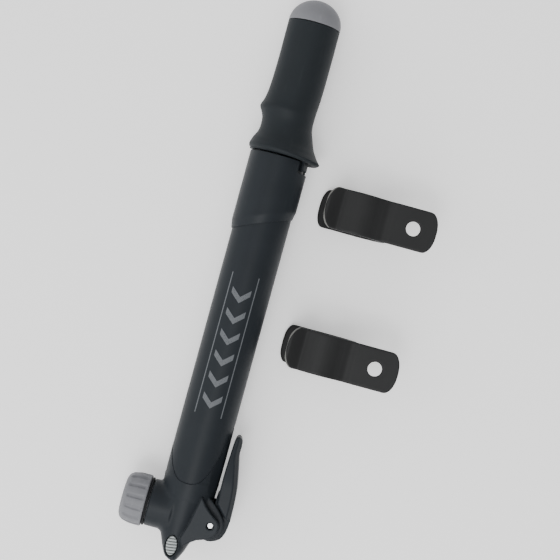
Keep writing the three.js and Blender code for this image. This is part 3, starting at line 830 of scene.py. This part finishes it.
def make_inlay(side, node):
    """A ribbed oval plug: a disc mapped onto the oval, with a flat back and a rounded rim.

    Its face follows the spine's height, less rib depth times 1 - sqrt(1 - rib round p^2), with p
    from -1 to 1 over each rib, which gives rounded ribs between narrow grooves.
    """
    sunk, rib_depth, rib_round, shoulder, back_z = 0.25, 0.62, 0.96, 5.6, 5.4
    flat_part, rim_part = 0.92, 0.08
    around = turns(140)
    inner, rim = np.linspace(0, flat_part, 90), np.linspace(0, math.pi / 2, 7)[1:]
    rho = np.concatenate([inner, flat_part + rim_part * np.sin(rim)])[:, None] * np.ones_like(around)
    y_face = INLAY_Y + rho * np.sin(around) * INLAY_HALF_LENGTH
    x_face = inlay_centre(y_face) + rho * np.cos(around) * INLAY_HALF_WIDTH
    top = spine_shape(y_face)[2]
    surface = top - 0.10 * (x_face - inlay_centre(y_face)) ** 2
    phase = ((y_face - RIB_LEAN * x_face - INLAY_Y) / RIB_PITCH + 0.5) % 1
    rib = np.sqrt(1 - (2 * phase - 1) ** 2 * rib_round)
    fade = 1 - step_between(rho, 0.86, 0.97)
    edge = np.sqrt(np.clip(1 - ((rho - flat_part) / rim_part).clip(0, 1) ** 2, 0, 1))
    z_face = shoulder + (surface - sunk - rib_depth * (1 - rib * fade) - shoulder) * edge
    back = np.stack([x_face, y_face, np.full_like(z_face, back_z)], -1)[::-1]
    grid = np.concatenate([np.stack([x_face, y_face, z_face], -1), back])
    grid[..., 2] *= side
    piece = grid_object(f"ribbed_oval_{node.split('_')[1]}", grid)
    dress(piece, "barrel", "pale_rubber", [node])


def make_pin():
    """The lever's pin: a turned bar with rounded ends."""
    pin_r = 1.35
    piece = about_z("pin", rounded([
        (0, -PIN_HALF), (pin_r, -PIN_HALF), (pin_r, PIN_HALF), (0, PIN_HALF),
    ], 0.35, closed=False), PIN_X, PIN_Y)
    dress(piece, "barrel", "steel", ["lever_pin"])


# ---- lever ----
ARM_OUTLINE = [
    (13.0, 28.3), (15.1, 25.9), (17.4, 23.6), (20.0, 22.2), (20.1, 24.0), (20.05, 27.7), (19.9, 31.1),
    (19.55, 35.0), (18.9, 38.9), (18.15, 42.5), (17.35, 46.3), (16.8, 48.6), (16.6, 50.4), (16.7, 53.0),
    (16.5, 55.2), (15.8, 56.6), (14.9, 57.2), (14.0, 56.9), (13.4, 55.9), (13.1, 53.8), (12.9, 50.0),
    (12.7, 45.0), (12.55, 40.0), (12.6, 34.0),
]
ARM_HALF, ARM_NARROWING, HUB_HALF, CAM_R, CAM_LIFT, PIN_BORE = 8.0, 2.6, 5.6, 6.0, 1.1, 1.45


def hub_outline():
    """The hub between the ears: a cam that grows by a quarter turn, then the lever's outer edge."""
    angle = np.linspace(170, 285, 16)
    radius = CAM_R + CAM_LIFT * np.clip((angle - 180) / 90, 0, 1)
    turn = np.radians(angle)
    cam = np.stack([PIN_X + radius * np.cos(turn), PIN_Y + radius * np.sin(turn)], -1)
    start = [(13.0, 32.2), (12.2, 31.7), (11.9, 27.2), (10.7, 25.7), (9.0, 24.2), (7.5, 22.2)]
    end = [(16.3, 12.8), (17.9, 13.9), (18.8, 15.3), (19.5, 17.2), (19.9, 19.3), (20.1, 22.0),
           (19.4, 28.0), (16.0, 32.0)]
    return np.vstack([start, cam, end])


def lever_field(x, y, z):
    """The lever: an arm that narrows towards its tip, joined to the cam's hub."""
    arm_half = ARM_HALF - ARM_NARROWING * step_between(y, 36, 58)
    arm = slab(outline_distance(x, y, ARM_OUTLINE), z * ARM_HALF / arm_half, ARM_HALF, 0.9)
    # the outer side is bevelled towards both faces
    outer = through([
        (20, 20.1), (27, 20.05), (35, 19.55), (42.5, 18.15), (48.6, 16.8), (53, 16.7), (58, 16.5),
    ], y)[0]
    bevel_width = 1.5
    bevel = (x - outer) * 0.80 + (np.abs(z) - arm_half) * 0.60 + bevel_width
    arm = common(arm, bevel, 0.35)
    hub = slab(outline_distance(x, y, hub_outline()), z, HUB_HALF, 0.5)
    lever = joined(arm, hub, 0.5)
    # a shallow dish under the thumb
    dish = np.sqrt(((x - 19.9) / 2.6) ** 2 + ((y - 51) / 7) ** 2 + (z / 5.0) ** 2) - 1
    lever = without(lever, dish * 2.4, 0.5)
    return without(lever, np.hypot(x - PIN_X, y - PIN_Y) - PIN_BORE, 0.2)


def make_lever():
    piece = field_object("thumb_lever", lever_field, (5.4, 9.4, -8.9), (21.0, 58.6, 8.9), 0.3)
    dress(piece, "lever", "black_plastic", ["lever"])


# ---- valve nut ----
def make_nut():
    """The ribbed nut, the ring behind it and the gasket in it, turned about the socket's line."""
    ribs, groove_depth, land_drop, inside_r = 14, 0.7, 0.16, 8.0
    back, rib_start, rib_end = RING_LOW - 0.3, NUT_FACE + 2.1, RING_LOW - 1.2

    def grooves(angle, x, radius):
        """Flat-bottomed grooves on the outside only, between broad and slightly round lands."""
        phase = (angle * ribs / TAU) % 1
        near = np.minimum(phase, 1 - phase)
        groove = 1 - step_between(near, 0.13, 0.20)
        land = land_drop * (2 * (0.5 - near)) ** 2
        start = step_between(x, rib_start - 0.7, rib_start + 0.9)
        end = 1 - step_between(x, rib_end - 0.1, rib_end + 0.3)
        return (groove * groove_depth + land * (1 - groove)) * start * end * (radius > inside_r)

    hole, neck, bore, neck_end, lid = 4.2, 7.9, 6.9, -5.5, NUT_FACE + 2.6
    outline = rounded([
        (hole, NUT_FACE), (7.4, NUT_FACE), (9.1, NUT_FACE + 0.75), (10.1, NUT_FACE + 2.1),
        (10.5, NUT_FACE + 3.8), (NUT_R, NUT_FACE + 5.6), (NUT_R, back), (neck, back), (neck, neck_end),
        (bore, neck_end), (bore, lid), (hole, lid),
    ], 0.7, 6)
    pieces = [np.linspace(a, b, 4)[:-1] for a, b in zip(outline[:-1], outline[1:])]
    finer = np.vstack(pieces + [outline[-1:]])
    nut = about_x("ribbed_nut", finer, SOCKET_Y, turns(ribs * 18), grooves)
    dress(nut, "valve_nut", "grey_plastic", ["valve_nut"])
    for name, inner_r, outer_r, low, high, edge, body, finish, node in (
        ("ring", 8.25, 10.2, RING_LOW, RING_HIGH, 0.2, "nut_ring", "black_matte", "nut_ring"),
        ("gasket", 3.9, 6.6, -23.2, -13.6, 0.5, "valve_nut", "seal_rubber", "valve_gasket"),
    ):
        sleeve = [(inner_r, low), (outer_r, low), (outer_r, high), (inner_r, high)]
        dress(about_x(name, rounded(sleeve, edge), SOCKET_Y), body, finish, [node])


# ---- handle ----
CORE_DISC_R, CORE_DISC_TOP, GRIP_BORE = 13.0, 177.0, 9.2


def make_core():
    """The handle's inner part: an end disc with the lock tongue, and the stem inside the grip."""
    rod_hole, stem_r, stem_top = ROD_R + 0.2, GRIP_BORE - 0.3, 228
    tongue_low, tongue_high = math.radians(10), math.radians(34)
    tongue_r, tongue_half, tongue_y, tongue_reach = 11.95, 0.62, 173.2, 2.5

    def field(x, y, z):
        from_axis = np.hypot(x, z)
        disc = rod_field(from_axis, y, FLANGE_LOW, CORE_DISC_TOP, CORE_DISC_R, 0.25)
        stem = rod_field(np.hypot(x - GRIP_SHIFT, z), y, FLANGE_LOW + 1, stem_top, stem_r, 0.3)
        turn = np.abs(np.arctan2(z, x) - (tongue_low + tongue_high) / 2)
        side = (turn - (tongue_high - tongue_low) / 2) * 12
        tongue = np.maximum(np.maximum(side, np.abs(from_axis - tongue_r) - tongue_half),
                            np.abs(y - tongue_y) - tongue_reach)
        core = joined(joined(disc, stem, 0.3), tongue, 0.3)
        return without(core, from_axis - rod_hole, 0.3)

    piece = field_object("handle_inside", field, (-13.8, 169.9, -13.8), (13.8, 228.9, 13.8), 0.42)
    dress(piece, "handle", "black_plastic", ["handle_core"])


def make_grip():
    """The handle's outside: a turned shape whose rings shift sideways, with a leaning flange.

    The lean is y = y - lean(r, y) * x, so that the flange hangs lowest beside the lock.
    """
    grip_r, inside_r, bore_seam = 11.1, 10, 190
    ledge_r, ledge_top = CORE_DISC_R + 0.3, CORE_DISC_TOP + 0.3
    lean_rate, lean_from, lean_to = 0.055, 178, 187
    # (y, radius, shift)
    stations = [
        (174.6, 14.2, 0.80),
        (175.2, 15.1, 1.10),
        (176.0, 15.55, 1.40),
        (176.8, 15.2, 1.15),
        (178.0, 14.45, 0.80),
        (179.2, 13.8, 0.55),
        (180.6, 12.95, 0.35),
        (182.2, 12.2, 0.25),
        (184.0, 11.65, 0.05),
        (186.0, 11.2, -0.30),
        (187.6, 10.95, -0.62),
        (189.4, 10.95, -0.95),
        (191.2, 11.3, -1.45),
        (192.6, 11.72, -1.86),
        (193.4, 11.85, -1.98),
        (194.2, 11.78, -1.90),
        (195.6, 11.52, -1.60),
        (198.7, 11.28, -1.12),
        (204.0, 11.15, -0.78),
        (209.0, grip_r, GRIP_SHIFT),
        (GRIP_TOP, grip_r, GRIP_SHIFT),
    ]
    under = rounded([
        (GRIP_BORE, bore_seam), (GRIP_BORE, ledge_top), (ledge_r, ledge_top), (ledge_r, FLANGE_LOW),
        (14.6, FLANGE_LOW), (15.2, FLANGE_LOW + 0.5), (15.5, FLANGE_LOW + 1.1), (15.5, FLANGE_LOW + 1.3),
    ], 0.25, closed=False)[:-1]
    along = np.linspace(FLANGE_LOW + 1.2, GRIP_TOP - 0.5, 190)
    outside = np.stack([through(stations, along)[0], along], -1)
    top = rounded([
        (grip_r, GRIP_TOP - 0.6), (grip_r, GRIP_TOP), (GRIP_BORE, GRIP_TOP), (GRIP_BORE, bore_seam),
    ], 0.3, closed=False)
    radius, y = np.vstack([under, outside, top[1:]]).T
    outer = step_between(radius, ledge_r, CORE_DISC_R + 1.1)
    outer = np.maximum(outer, (radius > inside_r) & (y > CORE_DISC_TOP + 0.5))
    shift = np.where(radius < inside_r, GRIP_SHIFT, outer * through(stations, y)[1])
    lean = lean_rate * outer * (1 - step_between(y, lean_from, lean_to))
    angles = turns(220)[:, None]
    x = radius * np.cos(angles) + shift
    grid = np.stack([x, y - lean * x, radius * np.sin(angles)], -1)
    dress(grid_object("grip", grid), "handle", "grip_plastic", ["handle_grip"])


def make_cap():
    """A dome: the square of the radius and of the rise add up to one, each on its own scale."""
    rise, outer_r, inner_r, rim_high, wall = CAP_TOP - CAP_LOW, 11.1, 9.1, 0.5, 2.2
    turn = np.linspace(0, math.pi / 2, 28)
    back = turn[::-1]
    outer = np.stack([outer_r * np.cos(turn), CAP_LOW + rim_high + (rise - rim_high) * np.sin(turn)], -1)
    inner = np.stack([inner_r * np.cos(back), CAP_LOW + (rise - wall) * np.sin(back)], -1)
    rim = rounded([
        (inner_r, CAP_LOW), (outer_r, CAP_LOW), (outer_r, CAP_LOW + rim_high),
    ], 0.3, closed=False)
    outline = np.vstack([inner[:-1], rim, outer[1:]])
    outline[0, 0] = outline[-1, 0] = 0
    piece = about_y("end_cap", outline, turns(), GRIP_SHIFT)
    dress(piece, "handle", "grey_plastic", ["handle_cap"])


# ---- clips ----
CLIP_R, CLIP_WALL = 12.8, 2.2
CLIP_THROAT, CLIP_NARROWING = -7.0, 0.02
TAB_HEIGHT, TAB_MIDDLE, TAB_HALF, TAB_BOW = 10.0, 20.8, 13.4, 5.4
TAB_HOLE, TAB_HOLE_R = 23.2, 3.0
LOW_LIP_END, LOW_LIP_BOW = -16.4, 4.8


def clip_mid_line():
    """The middle of the clip's wall seen from its end: upper lip, open ring, lower lip."""
    throat = math.acos(CLIP_THROAT / CLIP_R)
    turn = np.linspace(throat, -throat, 41)
    ring = np.stack([CLIP_R * np.cos(turn), CLIP_R * np.sin(turn)], -1)
    upper = [(-13.3, 13.7), (-12.4, 13.2), (-11.2, 12.4), (-9.8, 11.5), (-8.6, 10.85), (-7.7, 10.65)]
    lower = [
        (-7.7, -10.65), (-8.6, -10.85), (-9.8, -11.5), (-11.2, -12.3), (-12.9, -13.0), (-15.4, -13.6),
    ]
    return np.vstack([upper, ring, lower])


def line_distance(x, z, line):
    """Distance in a plane to an open line: the least over its pieces."""
    nearest = np.full(np.broadcast(x, z).shape, 1e9)
    for (ax, az), (bx, bz) in zip(line[:-1], line[1:]):
        ex, ez = bx - ax, bz - az
        t = np.clip(((x - ax) * ex + (z - az) * ez) / (ex * ex + ez * ez), 0, 1)
        nearest = np.minimum(nearest, (x - ax - ex * t) ** 2 + (z - az - ez * t) ** 2)
    return np.sqrt(nearest)


def bowed_end(x, y, bow, square=2.3):
    """The field of a strip that ends at x = 0 in a bow: its sides turn in over a length bow."""
    along = np.maximum(x + bow, 0) / bow
    across = np.abs(y) / CLIP_HALF
    return ((along ** square + across ** square + 1e-9) ** (1 / square) - 1) * bow


def clip_field(x, y, z):
    """The strip bent into a ring with two lips, the bolt tab on top, cut to its rounded plan."""
    x = x - CLIP_CENTRE
    wall = line_distance(x, z, clip_mid_line()) - CLIP_WALL / 2
    tab = slab(np.abs(z - TAB_HEIGHT) - CLIP_WALL / 2, x - TAB_MIDDLE, TAB_HALF, 0.3)
    tab = common(tab, CLIP_R - np.hypot(x, z), 0.2)
    side = joined(wall, tab, 1.6)
    # a soft hollow across the strip where the tab leaves the ring
    hollow = np.hypot((x - 11.9) / 1.6, (z - 11.6) / 0.9) - 1
    side = without(side, hollow * 0.9, 0.7)
    # the strip narrows a little towards the floor
    narrowing = CLIP_NARROWING * np.maximum(11 - z, 0)
    body = slab(side, y * CLIP_HALF / (CLIP_HALF - narrowing), CLIP_HALF, 0.45)
    upper_end = bowed_end(LIP_END - x, y, LIP_BOW, 2.0)
    lower_end = bowed_end(LOW_LIP_END - x, y, LOW_LIP_BOW)
    body = common(body, np.where(z > 0, upper_end, lower_end), 0.8)
    body = common(body, bowed_end(x - CLIP_TAB, y, TAB_BOW), 0.35)
    return without(body, np.hypot(x - TAB_HOLE, y) - TAB_HOLE_R, 0.3)


def make_clips():
    """Both clips from one field, each moved along Y to its own place."""
    margin, floor = 0.8, -15.6
    low = (CLIP_LEFT - margin, -CLIP_HALF - margin, floor)
    high = (CLIP_RIGHT + margin, CLIP_HALF + margin, CLIP_TOP + margin)
    first = field_object("clip_upper_snap", clip_field, low, high, 0.36)
    second = stand("clip_lower_snap", first.data.copy())
    for piece, node in ((first, "clip_upper"), (second, "clip_lower")):
        middle_y = middle(node, 1) - ORIGIN[1]
        piece.data.transform(Matrix.Translation((0, middle_y, 0)))
        dress(piece, node, "clip_plastic", [node])


def finish_cad_nodes():
    """The inner pieces keep their CAD shape and get their real finish."""
    inner = {
        "barrel_oring": "seal_rubber",
        "check_valve_seat": "white_plastic",
        "check_valve_disc": "seal_rubber",
        "check_valve_spring": "steel",
        "piston": "white_plastic",
        "piston_seal": "seal_rubber",
        "piston_screw": "steel",
        "stop_bumper": "seal_rubber",
        "rod_nut": "steel",
        "plunger": "white_plastic",
        "plunger_oring": "seal_rubber",
        "core_depressor": "steel",
        "gasket_washer": "white_plastic",
    }
    for node, finish in inner.items():
        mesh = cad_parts[node].data
        mesh.materials.clear()
        mesh.materials.append(FINISHES[finish])


# ---- floor, light and camera ----
class Sky(Finish):
    """A white surround that falls off to the right, so that flanks facing right stay dark."""

    def __init__(self, world):
        self.material, self.tree = None, world.node_tree
        self.shader = self.tree.nodes["Background"]
        direction = self.node("ShaderNodeTexCoord", {}, {}, "Generated")
        across = self.node("ShaderNodeSeparateXYZ", {}, {0: direction}, 0)
        shade = ((across - 0.15) * 2.2).clamped()
        self.feed(Color=self.mixed(shade, (0.9, 0.9, 0.9), (0.42, 0.42, 0.42)))


def make_floor():
    """A wide sheet of white paper at z = 0."""
    reach = 3.0
    floor_mesh = bpy.data.meshes.new("floor")
    corners = [(-reach, -reach, 0), (reach, -reach, 0), (reach, reach, 0), (-reach, reach, 0)]
    floor_mesh.from_pydata(corners, [], [(0, 1, 2, 3)])
    paper = Finish("white paper", Specular_IOR_Level=0.1,
                   Emission_Color=(1, 1, 1, 1), Emission_Strength=0.4)
    fibre = paper.noise(0.8, 3.0)
    shade = paper.mixed(fibre, (0.93, 0.93, 0.93), (0.96, 0.96, 0.96))
    floor_mesh.materials.append(paper.feed(Base_Color=shade, Roughness=0.8 + fibre * 0.1))
    stand("floor", floor_mesh)


def make_light():
    """The surround and three lamps, each of which faces the middle of the object."""
    world = bpy.data.worlds.new("studio")
    bpy.context.scene.world = world
    world.use_nodes = True
    Sky(world)
    centre = Vector(((CAD_BOX[0][0] + CAD_BOX[1][0]) / 2, (CAD_BOX[0][1] + CAD_BOX[1][1]) / 2, 0))
    for name, offset, size, power in (
        ("key", (-1.05, -0.2, 0.75), 1.0, 3.0),
        ("low", (-0.1, -0.95, 0.95), 1.1, 8.0),
        ("crown", (-0.06, -0.44, 1.2), 0.42, 5.0),
    ):
        light = bpy.data.lights.new(name, "AREA")
        light.size, light.energy = size, power
        lamp = stand(name, light)
        lamp.location = centre + Vector(offset)
        lamp.rotation_euler = (-Vector(offset)).to_track_quat("-Z", "Y").to_euler()


def make_camera():
    """Looks straight down, turned so that the pump leans to the right."""
    camera = bpy.data.cameras.new("camera")
    camera.lens, camera.sensor_width = 89.4, 36
    lean, above = math.radians(15.32), np.array([13.6, 124.7, 584.0])
    viewer = stand("camera", camera)
    viewer.location = place(above)
    viewer.rotation_euler = (0, 0, lean)
    bpy.context.scene.camera = viewer


make_camera()
make_floor()
make_light()
make_barrel()
make_collar()
make_bush_and_rod()
make_head()
make_inlay(1, "inlay_front")
make_inlay(-1, "inlay_rear")
make_pin()
make_lever()
make_nut()
make_core()
make_grip()
make_cap()
make_clips()
finish_cad_nodes()
